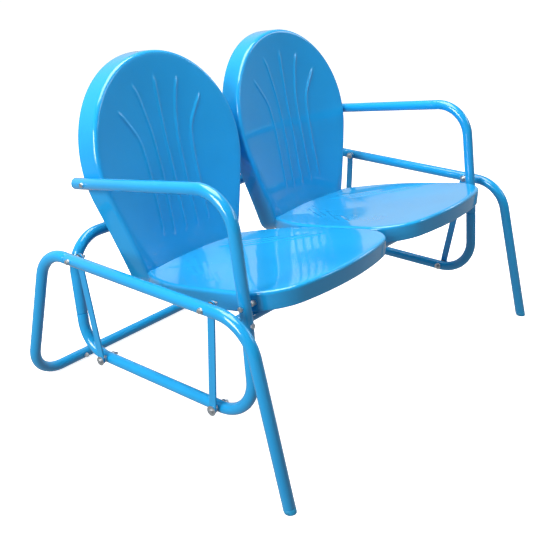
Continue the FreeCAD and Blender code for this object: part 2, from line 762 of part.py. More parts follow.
def back_outline(grow, depth):
    """Round head, sides closing in, rounded lower corners; grow widens it evenly."""
    angle = radians(BACK_SIDE_ANGLE)
    radius = BACK_R + grow
    centre = V(0, depth, BACK_CENTRE_H)
    bottom = BACK_BOTTOM_H - grow
    tangent = centre + V(radius * cos(angle), 0, -radius * sin(angle))
    fall = (tangent.z - bottom) * tan(angle)
    corner = V(tangent.x - fall, depth, bottom)
    corner_r = BACK_CORNER_R + grow
    half_turn = (pi / 2 - angle) / 2
    reach = corner_r * tan(half_turn)
    side_way = unit(tangent - corner)
    first = corner + side_way * reach
    last = corner - AXIS_X * reach
    round_centre = V(last.x, depth, bottom + corner_r)
    middle = round_centre + V(corner_r * sin(half_turn), 0, -corner_r * cos(half_turn))
    edges = [
        Part.Arc(mirror_point(tangent), centre + V(0, 0, radius), tangent),
        Part.LineSegment(tangent, first),
        Part.Arc(first, middle, last),
        Part.LineSegment(last, mirror_point(last)),
        Part.Arc(mirror_point(last), mirror_point(middle), mirror_point(first)),
        Part.LineSegment(mirror_point(first), mirror_point(tangent)),
    ]
    return Part.Wire([edge.toShape() for edge in edges])


def back_block(inset, front, rear):
    depths = (-15.0, 90.0)
    wires = [back_outline(BACK_FLARE * depth / BACK_DEPTH - inset, depth) for depth in depths]
    cone = Part.makeLoft(wires, True, True)
    return cone.common(back_band(front, rear, -300.0, 320.0)).removeSplitter()


def back_rim_edge(edge):
    points = edge.discretize(5)
    return all(point.y - back_sag(point.z) < RIM_R * 0.6 for point in points)


def rib_plan(points, width):
    """Plan of a pressed rib along (x, h) points, with round ends."""
    spine = Part.BSplineCurve()
    spine.interpolate([V(x, 0, h) for x, h in points])
    half = width / 2
    rows = ([], [])
    for x, h in points:
        centre = V(x, 0, h)
        way = unit(spine.tangent(spine.parameter(centre))[0])
        rows[0].append(centre + V(way.z, 0, -way.x) * half)
        rows[1].append(centre - V(way.z, 0, -way.x) * half)
    first = spine.value(spine.FirstParameter) - unit(spine.tangent(spine.FirstParameter)[0]) * half
    last = spine.value(spine.LastParameter) + unit(spine.tangent(spine.LastParameter)[0]) * half
    right = Part.BSplineCurve()
    right.interpolate(rows[0])
    left = Part.BSplineCurve()
    left.interpolate(list(reversed(rows[1])))
    edges = [
        right.toShape(),
        Part.Arc(rows[0][-1], last, rows[1][-1]).toShape(),
        left.toShape(),
        Part.Arc(rows[1][0], first, rows[0][0]).toShape(),
    ]
    return Part.Wire(edges)


def back_ribs():
    """Fan of raised ribs on the back's face: one in the middle and two pairs."""
    skin = in_front(SHEET_T / 2).cut(in_front(-RIB_RISE))
    ribs = []
    for points in BACK_RIBS:
        for side in ((1,) if points[0][0] == 0 else (-1, 1)):
            plan = Part.Face(rib_plan([(side * x, h) for x, h in points], RIB_W))
            plan.translate(V(0, -20, 0))
            ribs.append(plan.extrude(V(0, 80, 0)).common(skin))
    return ribs


def back_shell():
    outer = rounded_rim(back_block(0, 0, BACK_DEPTH), RIM_R, back_rim_edge)
    outer = outer.cut(hollow(0)).fuse(back_ribs())
    inner = back_block(SHEET_T, SHEET_T, BACK_DEPTH + 25)
    inner = rounded_rim(inner, RIM_R - SHEET_T, back_rim_edge).cut(hollow(SHEET_T))
    shell = to_back(outer.cut(inner).removeSplitter())
    for start, end in back_shell_bores():
        shell = pierce(shell, M6_R, start, end)
    return shell


def back_shell_bores():
    """Bolt lines through one shell, for a shell on the +X side, in its own seat's frame."""
    bores = []
    for x in back_bolt_places():
        point, normal = on_back(x, BACK_BOLT_H)
        bores.append((point - normal * 10, point + normal * 10))
    arm_line = arm_bolt_centre() - V(SEAT_X, 0, 0)
    bores.append((arm_line - V(90, 0, 0), arm_line))
    link_y, link_z = back_link_point()
    bores.append((V(-SEAT_X, link_y, link_z), V(-SEAT_X + 60, link_y, link_z)))
    return bores


def back_link_point():
    """(y, z) of the bolt that joins the two backs at their widest height."""
    lean = radians(BACK_LEAN)
    depth = BACK_DEPTH * 0.62
    y = BACK_ORIGIN[0] + BACK_CENTRE_H * sin(lean) + depth * cos(lean)
    return y, BACK_ORIGIN[1] + BACK_CENTRE_H * cos(lean) - depth * sin(lean)


def solid_back():
    """The back without its hollow, for trimming spacers."""
    return to_back(back_block(0, 0, BACK_DEPTH))


def moved(shape, x):
    result = shape.copy()
    result.translate(V(x, 0, 0))
    return result


# ---------------------------------------------------------------- struts and tabs
def strut_places():
    return [side * SEAT_X + offset for side in (-1, 1) for offset in (-STRUT_OFFSET, STRUT_OFFSET)]


def strut(x):
    """Bent strip from the rear of a back down to the top of the cross tube, x from the seat's middle."""
    base = REAR_TOP[1] + TUBE_R
    point, normal, up = strut_top(x)
    near = point + normal * SHEET_T
    far = near + normal * STRUT_T
    rear_y = REAR_TOP[0] + 9.0

    def level(start, z):
        return start + up * ((z - start.z) / up.z)

    corners = [
        level(near, base),
        near + up * 14,
        far + up * 14,
        level(far, base + STRUT_T),
        V(x, rear_y, base + STRUT_T),
        V(x, rear_y, base),
    ]
    shape = Part.Face(Part.makePolygon(corners + corners[:1])).extrude(V(STRUT_W, 0, 0))
    shape.translate(V(-STRUT_W / 2, 0, 0))
    shape = shape.cut(to_back(in_front(SHEET_T)))
    shape = pierce(shape, M6_R, point, point + normal * 20)
    screw = V(x, REAR_TOP[0], base)
    return pierce(shape, 2.0, screw - AXIS_Z * 10, screw + AXIS_Z * 10)


def strut_top(x):
    """Point on the back's face in front of a strut's nut, the strut's normal and its rise."""
    lean = radians(BACK_LEAN)
    point = on_back(x, STRUT_BOLT_H)[0]
    return point, V(0, cos(lean), -sin(lean)), V(0, sin(lean), cos(lean))


def strut_stud_pieces(x):
    """Weld stud on the rear of the back, so nothing shows in front, and its nut."""
    point, normal, _ = strut_top(x)
    strut_face = point + normal * (SHEET_T + STRUT_T)
    stud = cylinder(M6_R, point, strut_face + normal * 8)
    return stud.cut(to_back(in_front(SHEET_T + 0.02))), nut(M6_R, strut_face, normal)


def strut_screw():
    head = V(0, REAR_TOP[0], REAR_TOP[1] + TUBE_R + STRUT_T)
    return bolt(2.0, head, head - AXIS_Z * 12)


def seat_tab(x_low):
    """Cranked plate welded on the front bar; it passes under the skirt and stands inside it."""
    bar = front_bar_point(x_low)
    rise = seat_top(TAB_FRONT_Y) - SKIRT - 3.0
    rear_y = TAB_FRONT_Y + TAB_W
    corners = [
        (bar.y, bar.z),
        (bar.y, rise),
        (TAB_FRONT_Y, rise),
        (TAB_FRONT_Y, TAB_TOP_Z),
        (rear_y, TAB_TOP_Z),
        (rear_y, rise - 4.0),
    ]
    points = [V(x_low, y, z) for y, z in corners]
    plate = Part.Face(Part.makePolygon(points + points[:1])).extrude(V(TAB_T, 0, 0))
    plate = plate.cut(cylinder(TUBE_R - 0.5, bar - AXIS_X, bar + AXIS_X * 5))
    return pierce(plate, M6_R, V(x_low - 10, TAB_Y, TAB_Z), V(x_low + 10, TAB_Y, TAB_Z))


def seat_tabs():
    """One tab inside the inner side skirt of each seat; the outer skirts hang on the risers."""
    return both_sides(seat_tab(SEAT_X - SEAT_HALF + SHEET_T))


def back_bolt_pieces(x):
    """Bolt from inside the seat's rear skirt through the back's sheet, with its nut."""
    point, normal = on_back(x, BACK_BOLT_H)
    inside = point - normal * (SHEET_T + 0.05)
    behind = point + normal * (SHEET_T + 0.02)
    return bolt(M6_R, inside, behind + normal * 8), nut(M6_R, behind, normal)


def centre_link_pieces():
    """Bolts, spacers and nuts that join the two seats and the two backs in the middle."""
    gap = SEAT_X - SEAT_HALF
    bolts = []
    spacers = []
    nuts = []
    for y, z, clamp in ((TAB_Y, TAB_Z, SHEET_T + TAB_T), (PAN_LINK_Y, pan_link_z(), SHEET_T)):
        reach = gap + clamp
        bolts.append(bolt(M6_R, V(reach, y, z), V(-reach - 8, y, z)))
        nuts.append(nut(M6_R, V(-reach, y, z), AXIS_X * -1))
        spacers.append(ring(SPACER_R, M6_R, V(-gap, y, z), V(gap, y, z)))
    y, z = back_link_point()
    reach = back_link_reach()
    bolts.append(bolt(M6_R, V(reach, y, z), V(-reach - 8, y, z)))
    nuts.append(nut(M6_R, V(-reach, y, z), AXIS_X * -1))
    spacer = ring(SPACER_R, M6_R, V(-9, y, z), V(9, y, z))
    for side in (-1, 1):
        spacer = spacer.cut(moved(solid_back(), side * SEAT_X))
    spacers.append(spacer)
    return bolts, spacers, nuts


def back_link_reach():
    """Half the grip of the bolt between the backs, measured to the inside of each flange."""
    half_width = BACK_R + BACK_FLARE * 0.62
    return SEAT_X - half_width + SHEET_T + 0.7


def side_bolt_pieces():
    """Bolt through the front riser, a spacer and the seat's side skirt, on the +X side."""
    centre = side_bolt_centre()
    pan = moved(seat_block(0, 0, SKIRT), SEAT_X)
    hollow = moved(seat_block(SHEET_T, SHEET_T, SKIRT), SEAT_X)
    inside_x = SEAT_X + SEAT_HALF - 16.0
    spacer = ring(SPACER_R, M6_R, at_x(centre, SWING_X), at_x(centre, inside_x))
    riser = cylinder(TUBE_R, on_swing(ARM_CORNER), on_swing(RISER_KNEE))
    spacer_out = spacer.cut(riser).cut(pan)
    spacer_in = spacer.common(hollow)
    shank = bolt(M6_R, at_x(centre, SWING_X + TUBE_R), at_x(centre, inside_x - 8))
    return shank, group([spacer_out, spacer_in]), nut(M6_R, at_x(centre, inside_x), AXIS_X * -1)


def arm_bolt_pieces():
    """Bolt through the arm's rear end, a spacer and the back's side flange, on the +X side."""
    centre = arm_bolt_centre()
    shell = moved(solid_back(), SEAT_X)
    arm_core = cylinder(TUBE_R, on_swing(ARM_CORNER), on_swing(ARM_END))
    inside_x = SEAT_X + BACK_R - 2.0
    spacer = ring(SPACER_R, M6_R, at_x(centre, SWING_X), at_x(centre, inside_x))
    hollow = moved(to_back(back_block(SHEET_T, SHEET_T, BACK_DEPTH)), SEAT_X)
    spacer_out = spacer.cut(arm_core).cut(shell)
    spacer_in = spacer.common(hollow)
    shank = bolt(M6_R, at_x(centre, SWING_X + TUBE_R), at_x(centre, inside_x - 8))
    return shank, group([spacer_out, spacer_in]), nut(M6_R, at_x(centre, inside_x), AXIS_X * -1)


def end_plugs():
    """Plugs in the arms' rear ends and in the front bar's ends."""
    arm_end = on_swing(ARM_END)
    arm_plug = plug(arm_end, on_swing(ARM_CORNER) - arm_end, END_CAP, PLUG_LENGTH)
    bar_plug = plug(front_bar_point(FRONT_BAR_HALF), AXIS_X * -1, END_CAP, BAR_PLUG_LENGTH)
    return both_sides(arm_plug) + both_sides(bar_plug)


# ---------------------------------------------------------------- assembly
def pivot_nodes():
    nodes = {}
    for level, pieces_of in (("upper", upper_pivot_pieces), ("lower", lower_pivot_pieces)):
        sets = [pieces_of(end) for end in HANGER_Y]
        for kind in sets[0]:
            shapes = [copy for pieces in sets for copy in both_sides(pieces[kind])]
            nodes[f"{level}_pivot_{kind}"] = group(shapes)
    return nodes


def link_nodes():
    nodes = {}
    for end in HANGER_Y:
        for name, shape in ((f"{end}_%s_link", link(end)), (f"{end}_%s_bushes", bushes(end))):
            nodes[name % "right"] = shape
            nodes[name % "left"] = mirrored(shape)
    return nodes


def side_nodes():
    makers = {
        "front_leg": front_leg,
        "foot_cap": foot_cap,
        "rear_leg": rear_leg,
        "arm": arm,
        "lower_rail": lower_rail,
    }
    nodes = {}
    for name, maker in makers.items():
        shape = maker()
        nodes[f"right_{name}"] = shape
        nodes[f"left_{name}"] = mirrored(shape)
    return nodes


def seat_nodes():
    nodes = {}
    pan = moved(seat_pan(), SEAT_X)
    shell = moved(back_shell(), SEAT_X)
    struts = group([moved(strut(offset), SEAT_X) for offset in (-STRUT_OFFSET, STRUT_OFFSET)])
    for name, shape in (("seat_pan", pan), ("back_shell", shell), ("back_struts", struts)):
        nodes[f"right_{name}"] = shape
        nodes[f"left_{name}"] = mirrored(shape)
    return nodes


def fastener_nodes():
    nodes = {
        "ground_joint_bolts": group(both_sides(ground_joint_bolt())),
        "ground_joint_nuts": group(both_sides(ground_joint_nut())),
        "rear_joint_screws": group(both_sides(rear_joint_screw())),
        "end_plugs": group(end_plugs()),
    }
    front_bolt, front_nut = front_joint_pieces()
    nodes["front_bar_bolts"] = group(both_sides(front_bolt))
    nodes["front_bar_nuts"] = group(both_sides(front_nut))
    for name, pieces in (("seat_side", side_bolt_pieces()), ("arm_back", arm_bolt_pieces())):
        for kind, shape in zip(("bolts", "spacers", "nuts"), pieces):
            nodes[f"{name}_{kind}"] = group(both_sides(shape))
    for kind, shapes in zip(("bolts", "spacers", "nuts"), centre_link_pieces()):
        nodes[f"centre_link_{kind}"] = group(shapes)
    nodes.update(back_fasteners())
    return nodes


def back_fasteners():
    low = [back_bolt_pieces(x) for x in back_bolt_places()]
    studs = [strut_stud_pieces(x) for x in (-STRUT_OFFSET, STRUT_OFFSET)]
    pieces = {
        "seat_back_bolts": [pair[0] for pair in low],
        "seat_back_nuts": [pair[1] for pair in low],
        "strut_studs": [pair[0] for pair in studs],
        "strut_nuts": [pair[1] for pair in studs],
    }
    nodes = {}
    for name, shapes in pieces.items():
        nodes[name] = group([moved(shape, side * SEAT_X) for side in (-1, 1) for shape in shapes])
    nodes["strut_screws"] = group([moved(strut_screw(), x) for x in strut_places()])
    return nodes


def build():
    nodes = {
        "rear_ground_bar": rear_ground_bar(),
        "rear_frame_tube": rear_frame_tube(),
        "front_seat_bar": front_seat_bar(),
    }
    for part in (side_nodes, pivot_nodes, link_nodes, seat_nodes, fastener_nodes):
        nodes.update(part())
    return nodes


os.makedirs("parts", exist_ok=True)
for node, shape in sorted(build().items()):
    shape.exportStep(f"parts/{node}.step")
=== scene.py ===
"""Visual model of a two-seat tulip glider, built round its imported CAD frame.

Lengths in this file are millimetres until a mesh is made, and metres in Blender.
"""
from math import atan2, cos, pi, radians, sin, sqrt, tan

import bmesh
import bpy
import numpy as np
from mathutils import Matrix, Quaternion, Vector


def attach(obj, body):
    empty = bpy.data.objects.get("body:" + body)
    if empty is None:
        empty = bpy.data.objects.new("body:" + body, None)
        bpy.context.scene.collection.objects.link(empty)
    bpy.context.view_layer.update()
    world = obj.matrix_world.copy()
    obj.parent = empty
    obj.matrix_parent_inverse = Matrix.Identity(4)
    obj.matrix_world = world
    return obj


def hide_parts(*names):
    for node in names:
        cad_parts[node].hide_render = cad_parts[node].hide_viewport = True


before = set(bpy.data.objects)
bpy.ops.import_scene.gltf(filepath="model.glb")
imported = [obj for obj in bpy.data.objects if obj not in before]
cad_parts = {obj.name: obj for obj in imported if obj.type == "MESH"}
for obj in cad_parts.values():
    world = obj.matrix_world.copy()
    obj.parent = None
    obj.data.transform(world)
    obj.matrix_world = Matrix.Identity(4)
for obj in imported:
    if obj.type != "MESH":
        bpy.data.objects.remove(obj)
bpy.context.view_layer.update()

MM = 0.001
AXIS_X = Vector((1, 0, 0))
SIDES = {"left": -1, "right": 1}

# ---- tube sections, shared with the CAD ----
TUBE_R = 12.7
TUBE_IN = 11.2
SPIGOT_R = 11.1          # reduced end that slips into the next tube
SPIGOT_IN = 9.6
SEAM = 0.25              # half of the gap at a slip joint
SEAM_EDGE = 0.7          # rounded mouth at a slip joint
PLUG_R = 11.0
FOOT_CAP = 8.0
END_CAP = 5.0

# ---- fixed base, shared with the CAD ----
BASE_X = 542.0
FOOT_Y = -382.4
RAIL_FRONT_Y = -279.0
RAIL_REAR_Y = 289.0
RAIL_Z = 363.5
GROUND_BAR_Y = 385.0
FRONT_BEND_R = 92.0
REAR_BEND_R = 85.5
GROUND_BEND_R = 87.0
RAIL_SEAM_Y = 212.0
RAIL_SPIGOT = 62.0
GROUND_SEAM_X = 372.0
GROUND_SPIGOT = 46.0

# ---- swinging frame, shared with the CAD: corners are (y, z) ----
SWING_X = 478.0
ARM_END = (239.0, 508.1)
ARM_CORNER = (-183.7, 578.8)
RISER_KNEE = (-224.8, 337.4)
LOWER_FRONT = (-248.8, 112.7)
LOWER_REAR = (251.7, 110.8)
REAR_TOP = (276.6, 372.1)
ARM_BEND_R = 82.7
KNEE_BEND_R = 400.0
LOWER_FRONT_R = 83.6
LOWER_REAR_R = 73.6
REAR_TOP_R = 79.2
FRONT_SEAM_Z = 288.0
REAR_SEAM_Z = 198.0
FRONT_SPIGOT = 42.0
REAR_SPIGOT = 18.0
FRONT_JOINT_Z = 320.0
FRONT_BAR_HALF = 489.0
FRONT_BAR_GAP = 0.05     # between the front bar and the risers it is bolted to

# ---- seats and backs, shared with the CAD ----
SEAT_X = 231.5           # middle line of each seat and back
SHEET_T = 1.5
RIM_R = 8.0
SEAT_FRONT_Y = -304.0
SEAT_HALF = 229.0
SEAT_FRONT_R = 650.0
SEAT_CORNER_R = 110.0
SEAT_SIDE_R = 330.0
SEAT_SIDE_Y = -70.0
SEAT_REF = (-241.5, 380.9)
SEAT_SLOPE = 0.2006
SKIRT = 40.0
BACK_ORIGIN = (173.9, 492.7)
BACK_LEAN = radians(14.5)
BACK_R = 226.0
BACK_CENTRE_H = 48.0
BACK_SIDE_ANGLE = radians(17.8)
BACK_BOTTOM_H = -229.0
BACK_CORNER_R = 40.0
BACK_DEPTH = 51.0
BACK_FLARE = 4.8
BACK_CURVE_R = 2400.0
BACK_DISH = 22.0
BACK_RIM = 8.0

# ---- fineness of the meshes ----
ROUND = 48               # segments round a tube
ARC_STEP = 4.0           # along a bend
ARC_LEAST = 6
RIM_STEPS = 9
INNER_RINGS = 96
RIB_STEPS = 10


# ---------------------------------------------------------------- mesh tools
class Build:
    """Collects vertices and faces of one piece."""

    def __init__(self, verts=(), faces=()):
        self.verts = list(verts)
        self.faces = list(faces)

    def add(self, verts, faces):
        base = len(self.verts)
        self.verts.extend(verts)
        self.faces.extend(tuple(base + i for i in face) for face in faces)

    def join(self, other):
        self.add(other.verts, other.faces)

    def mirrored(self):
        verts = [(-x, y, z) for x, y, z in self.verts]
        return Build(verts, [tuple(reversed(face)) for face in self.faces])

    def moved(self, shift):
        return Build([(x + shift, y, z) for x, y, z in self.verts], self.faces)


def bent_path(corners, radii):
    """Points along straight runs joined by arcs."""
    points = [corners[0]]
    for index, radius in enumerate(radii, start=1):
        corner = corners[index]
        back = (corners[index - 1] - corner).normalized()
        ahead = (corners[index + 1] - corner).normalized()
        half = back.angle(ahead) / 2
        tangent = radius / tan(half)
        centre = corner + (back + ahead).normalized() * (radius / sin(half))
        spoke = corner + back * tangent - centre
        turn = pi - 2 * half
        axis = spoke.cross(corner + ahead * tangent - centre).normalized()
        count = max(ARC_LEAST, int(turn * radius / ARC_STEP))
        points.extend(
            centre + Quaternion(axis, turn * k / count) @ spoke for k in range(count + 1)
        )
    points.append(corners[-1])
    return points


def frames_along(points):
    """Distances, tangents and a steady side vector at each path point."""
    count = len(points)
    distances = [0.0]
    for a, b in zip(points, points[1:]):
        distances.append(distances[-1] + (b - a).length)
    tangents = []
    for i in range(count):
        before = points[max(i - 1, 0)]
        after = points[min(i + 1, count - 1)]
        tangents.append((after - before).normalized())
    side = tangents[0].orthogonal().normalized()
    sides = []
    for i, tangent in enumerate(tangents):
        if i:
            side = tangents[i - 1].rotation_difference(tangent) @ side
        side = (side - tangent * side.dot(tangent)).normalized()
        sides.append(side)
    return distances, tangents, sides


def sweep(points, profile, inner=None):
    """Round skin along a path. The profile is (distance, radius) in order, first to last.

    With inner, a list like profile, the skin turns back inside and closes; without, it is capped.
    """
    distances, tangents, sides = frames_along(points)
    total = distances[-1]

    def stations(entries):
        """The profile's own stations, and one at each point of a bent path."""
        low, high = entries[0][0], entries[-1][0]
        if len(points) == 2 or high <= low:
            return list(entries)
        at = [entry[0] for entry in entries]
        radii = [entry[1] for entry in entries]
        between = [d for d in distances if low + 0.05 < d < high - 0.05]
        extra = [(d, float(np.interp(d, at, radii))) for d in between]
        return sorted(list(entries) + extra, key=lambda entry: entry[0])

    def place(distance):
        if distance <= 0:
            return points[0] + tangents[0] * distance, tangents[0], sides[0]
        if distance >= total:
            return points[-1] + tangents[-1] * (distance - total), tangents[-1], sides[-1]
        k = int(np.searchsorted(distances, distance, side="right")) - 1
        k = min(k, len(points) - 2)
        share = (distance - distances[k]) / (distances[k + 1] - distances[k])
        tangent = tangents[k].lerp(tangents[k + 1], share).normalized()
        side = sides[k].lerp(sides[k + 1], share)
        side = (side - tangent * side.dot(tangent)).normalized()
        return points[k].lerp(points[k + 1], share), tangent, side

    rings = stations(profile)
    if inner:
        rings += reversed(stations(inner))
    verts = []
    for distance, radius in rings:
        centre, tangent, side = place(distance)
        up = tangent.cross(side)
        for s in range(ROUND):
            angle = 2 * pi * s / ROUND
            verts.append(tuple(centre + (side * cos(angle) + up * sin(angle)) * radius))
    faces = []
    last = len(rings) if inner else len(rings) - 1
    for r in range(last):
        a = r * ROUND
        b = ((r + 1) % len(rings)) * ROUND
        for s in range(ROUND):
            t = (s + 1) % ROUND
            faces.append((a + s, a + t, b + t, b + s))
    if not inner:
        faces.append(tuple(reversed(range(ROUND))))
        start = (len(rings) - 1) * ROUND
        faces.append(tuple(range(start, start + ROUND)))
    return Build(verts, faces)


def plain_end(edge=0.5):
    """Rounded mouth of a cut tube at distance 0."""
    return [(0.0, TUBE_R - edge), (0.12 * edge, TUBE_R - 0.35 * edge), (edge, TUBE_R)]


def spigot_end(length):
    """Swaged shoulder at distance 0 that drops to the reduced end beyond it."""
    return [
        (-length, SPIGOT_R - 0.6),
        (-length + 0.8, SPIGOT_R),
        (0.1, SPIGOT_R),
        (0.5, SPIGOT_R + 0.25),
        (1.2, TUBE_R - 0.55),
        (1.9, TUBE_R - 0.12),
        (2.6, TUBE_R),
    ]


NECK = (2.0, 5.0)        # where the bore widens behind a spigot, from the shoulder


def tube_skin(corners, radii, start, end):
    """Tube with its own treatment of each end; both are profiles written from the end inwards."""
    points = bent_path(corners, radii)
    total = frames_along(points)[0][-1]
    profile = start + [(total - distance, radius) for distance, radius in reversed(end)]
    low = TUBE_IN if start[0][0] >= 0 else SPIGOT_IN
    high = TUBE_IN if end[0][0] >= 0 else SPIGOT_IN
    inner = [(profile[0][0], low)]
    if low != TUBE_IN:
        inner += [(NECK[0], low), (NECK[1], TUBE_IN)]
    if high != TUBE_IN:
        inner += [(total - NECK[1], TUBE_IN), (total - NECK[0], high)]
    inner.append((profile[-1][0], high))
    return sweep(points, profile, inner)


def on_line(line_a, line_b, z):
    """The (y, z) point at a height on the line through two others."""
    share = (z - line_a[1]) / (line_b[1] - line_a[1])
    return line_a[0] + share * (line_b[0] - line_a[0]), z


def on_swing(point):
    return Vector((SWING_X, point[0], point[1]))


def flip(point):
    return Vector((-point.x, point.y, point.z))


# ---------------------------------------------------------------- materials
class Nodes:
    """Short way to write a material's node tree."""

    def __init__(self, name):
        self.material = bpy.data.materials.new(name)
        self.material.use_nodes = True
        self.tree = self.material.node_tree
        self.shader = self.tree.nodes["Principled BSDF"]
        coordinates = self.tree.nodes.new("ShaderNodeTexCoord")
        self.place = coordinates.outputs["Object"]

    def node(self, kind, values=None, **links):
        node = self.tree.nodes.new(kind)
        for key, value in (values or {}).items():
            node.inputs[key].default_value = value
        for key, source in links.items():
            self.tree.links.new(source, node.inputs[key])
        return node

    def noise(self, scale, detail=3.0, roughness=0.5):
        values = {"Scale": scale, "Detail": detail, "Roughness": roughness}
        return self.node("ShaderNodeTexNoise", values, Vector=self.place).outputs["Fac"]

    def ramp(self, source, stops):
        node = self.node("ShaderNodeValToRGB", Fac=source)
        elements = node.color_ramp.elements
        while len(elements) < len(stops):
            elements.new(0.5)
        for element, (position, colour) in zip(elements, stops):
            element.position = position
            element.color = (*colour, 1.0)
        return node.outputs["Color"]

    def scaled(self, source, low, high):
        values = {"To Min": low, "To Max": high}
        return self.node("ShaderNodeMapRange", values, Value=source).outputs["Result"]

    def mixed(self, factor, base, colour):
        """The base colour with a plain colour laid over it by a factor."""
        node = self.tree.nodes.new("ShaderNodeMix")
        node.data_type = "RGBA"
        self.tree.links.new(factor, node.inputs[0])
        self.tree.links.new(base, node.inputs[6])
        node.inputs[7].default_value = (*colour, 1.0)
        return node.outputs[2]

    def bump(self, source, strength, distance, **below):
        values = {"Strength": strength, "Distance": distance}
        return self.node("ShaderNodeBump", values, Height=source, **below).outputs["Normal"]

    def link(self, source, socket):
        self.tree.links.new(source, self.shader.inputs[socket])

    def set(self, **values):
        for key, value in values.items():
            self.shader.inputs[key.replace("_", " ")].default_value = value


def paint_material():
    """Thick glossy blue enamel: faint mottling, orange peel, and a clear top coat."""
    n = Nodes("sky_blue_enamel")
    broad = n.noise(5.0, 2.0)
    fine = n.noise(160.0, 4.0, 0.6)
    specks = n.noise(900.0, 1.0)
    tint = n.ramp(broad, [(0.30, (0.010, 0.300, 0.640)), (0.72, (0.014, 0.340, 0.700))])
    dust = n.ramp(fine, [(0.60, (0.0, 0.0, 0.0)), (0.82, (0.10, 0.10, 0.10))])
    n.link(n.mixed(dust, tint, (0.05, 0.40, 0.74)), "Base Color")
    n.link(n.scaled(fine, 0.20, 0.30), "Roughness")
    peel = n.noise(330.0, 2.0)
    wave = n.noise(6.0, 1.0)
    under = n.bump(wave, 0.12, 0.006)
    n.link(n.bump(peel, 0.045, 0.0003, Normal=under), "Normal")
    n.link(n.scaled(specks, 0.035, 0.065), "Coat Roughness")
    n.set(Coat_Weight=1.0, Coat_IOR=1.5, IOR=1.5, Specular_IOR_Level=0.15)
    return n.material


def zinc_material():
    """Bright zinc plate with a slight yellow and blue cast and fine grain."""
    n = Nodes("zinc_plate")
    patches = n.noise(90.0, 3.0)
    grain = n.noise(1400.0, 2.0)
    bluish, plain, yellowish = (0.52, 0.53, 0.56), (0.66, 0.66, 0.66), (0.70, 0.67, 0.58)
    colour = n.ramp(patches, [(0.30, bluish), (0.55, plain), (0.80, yellowish)])
    n.link(colour, "Base Color")
    n.link(n.scaled(grain, 0.24, 0.42), "Roughness")
    n.link(n.bump(grain, 0.15, 0.0001), "Normal")
    n.set(Metallic=1.0)
    return n.material


def plastic_material(name, dark, light, rough):
    """Moulded plastic with a fine matt texture."""
    n = Nodes(name)
    broad = n.noise(40.0, 2.0)
    grain = n.noise(2200.0, 2.0)
    n.link(n.ramp(broad, [(0.3, dark), (0.7, light)]), "Base Color")
    n.link(n.scaled(grain, rough - 0.06, rough + 0.08), "Roughness")
    n.link(n.bump(grain, 0.12, 0.0001), "Normal")
    return n.material


def floor_material():
    """White paper sweep that glows, so that it stays even into the distance."""
    n = Nodes("studio_floor")
    cloud = n.noise(0.6, 2.0)
    n.link(n.ramp(cloud, [(0.3, (0.80, 0.805, 0.81)), (0.7, (0.82, 0.82, 0.82))]), "Base Color")
    n.set(Roughness=0.9, Emission_Color=(1.0, 1.0, 1.0, 1.0), Emission_Strength=0.85)
    n.set(Specular_IOR_Level=0.0)
    return n.material


PAINT = paint_material()
ZINC = zinc_material()
NYLON = plastic_material("black_nylon", (0.012, 0.012, 0.013), (0.022, 0.022, 0.024), 0.42)
CAPS = plastic_material("blue_cap_plastic", (0.016, 0.250, 0.480), (0.022, 0.290, 0.540), 0.34)

# Slot of the record and material of a piece that replaces a CAD node.
ENAMELLED = ("sky_blue_gloss_paint", PAINT)
MOULDED = ("blue_plastic_caps", CAPS)


# ---------------------------------------------------------------- pieces
def skin_piece(node, build, body, finish):
    """Smooth mesh object that rides on a body and stands for a CAD node."""
    slot, material = finish
    name = f"{node}_skin"
    mesh = bpy.data.meshes.new(name)
    mesh.from_pydata([tuple(c * MM for c in v) for v in build.verts], [], build.faces)
    mesh.validate()
    mesh.update()
    for polygon in mesh.polygons:
        polygon.use_smooth = True
    mesh.materials.append(material)
    piece = bpy.data.objects.new(name, mesh)
    bpy.context.scene.collection.objects.link(piece)
    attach(piece, body)
    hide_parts(node)
    return piece


def paired(name, right_build, body, finish):
    """Left and right pieces from the right one."""
    for side, sign in SIDES.items():
        build = right_build if sign > 0 else right_build.mirrored()
        skin_piece(f"{side}_{name}", build, body, finish)


# ---------------------------------------------------------------- fixed base
def rail_point(y):
    return Vector((BASE_X, y, RAIL_Z))


def make_base():
    foot = Vector((BASE_X, FOOT_Y, 0))
    up = (rail_point(RAIL_FRONT_Y) - foot).normalized()
    corners = [foot + up * FOOT_CAP, rail_point(RAIL_FRONT_Y), rail_point(RAIL_SEAM_Y - SEAM)]
    leg = tube_skin(corners, [FRONT_BEND_R], plain_end(), plain_end(SEAM_EDGE))
    paired("front_leg", leg, "base", ENAMELLED)

    low = Vector((BASE_X, GROUND_BAR_Y, TUBE_R))
    seam = Vector((GROUND_SEAM_X, GROUND_BAR_Y, TUBE_R))
    corners = [
        rail_point(RAIL_SEAM_Y + SEAM), rail_point(RAIL_REAR_Y), low, seam + AXIS_X * SEAM,
    ]
    bends = [REAR_BEND_R, GROUND_BEND_R]
    rear = tube_skin(corners, bends, spigot_end(RAIL_SPIGOT), plain_end(SEAM_EDGE))
    paired("rear_leg", rear, "base", ENAMELLED)

    inner = seam - AXIS_X * SEAM
    spigot = spigot_end(GROUND_SPIGOT)
    skin_piece(
        "rear_ground_bar", tube_skin([flip(inner), inner], [], spigot, spigot), "base", ENAMELLED,
    )

    paired("foot_cap", foot_cap_skin(foot, up), "base", MOULDED)


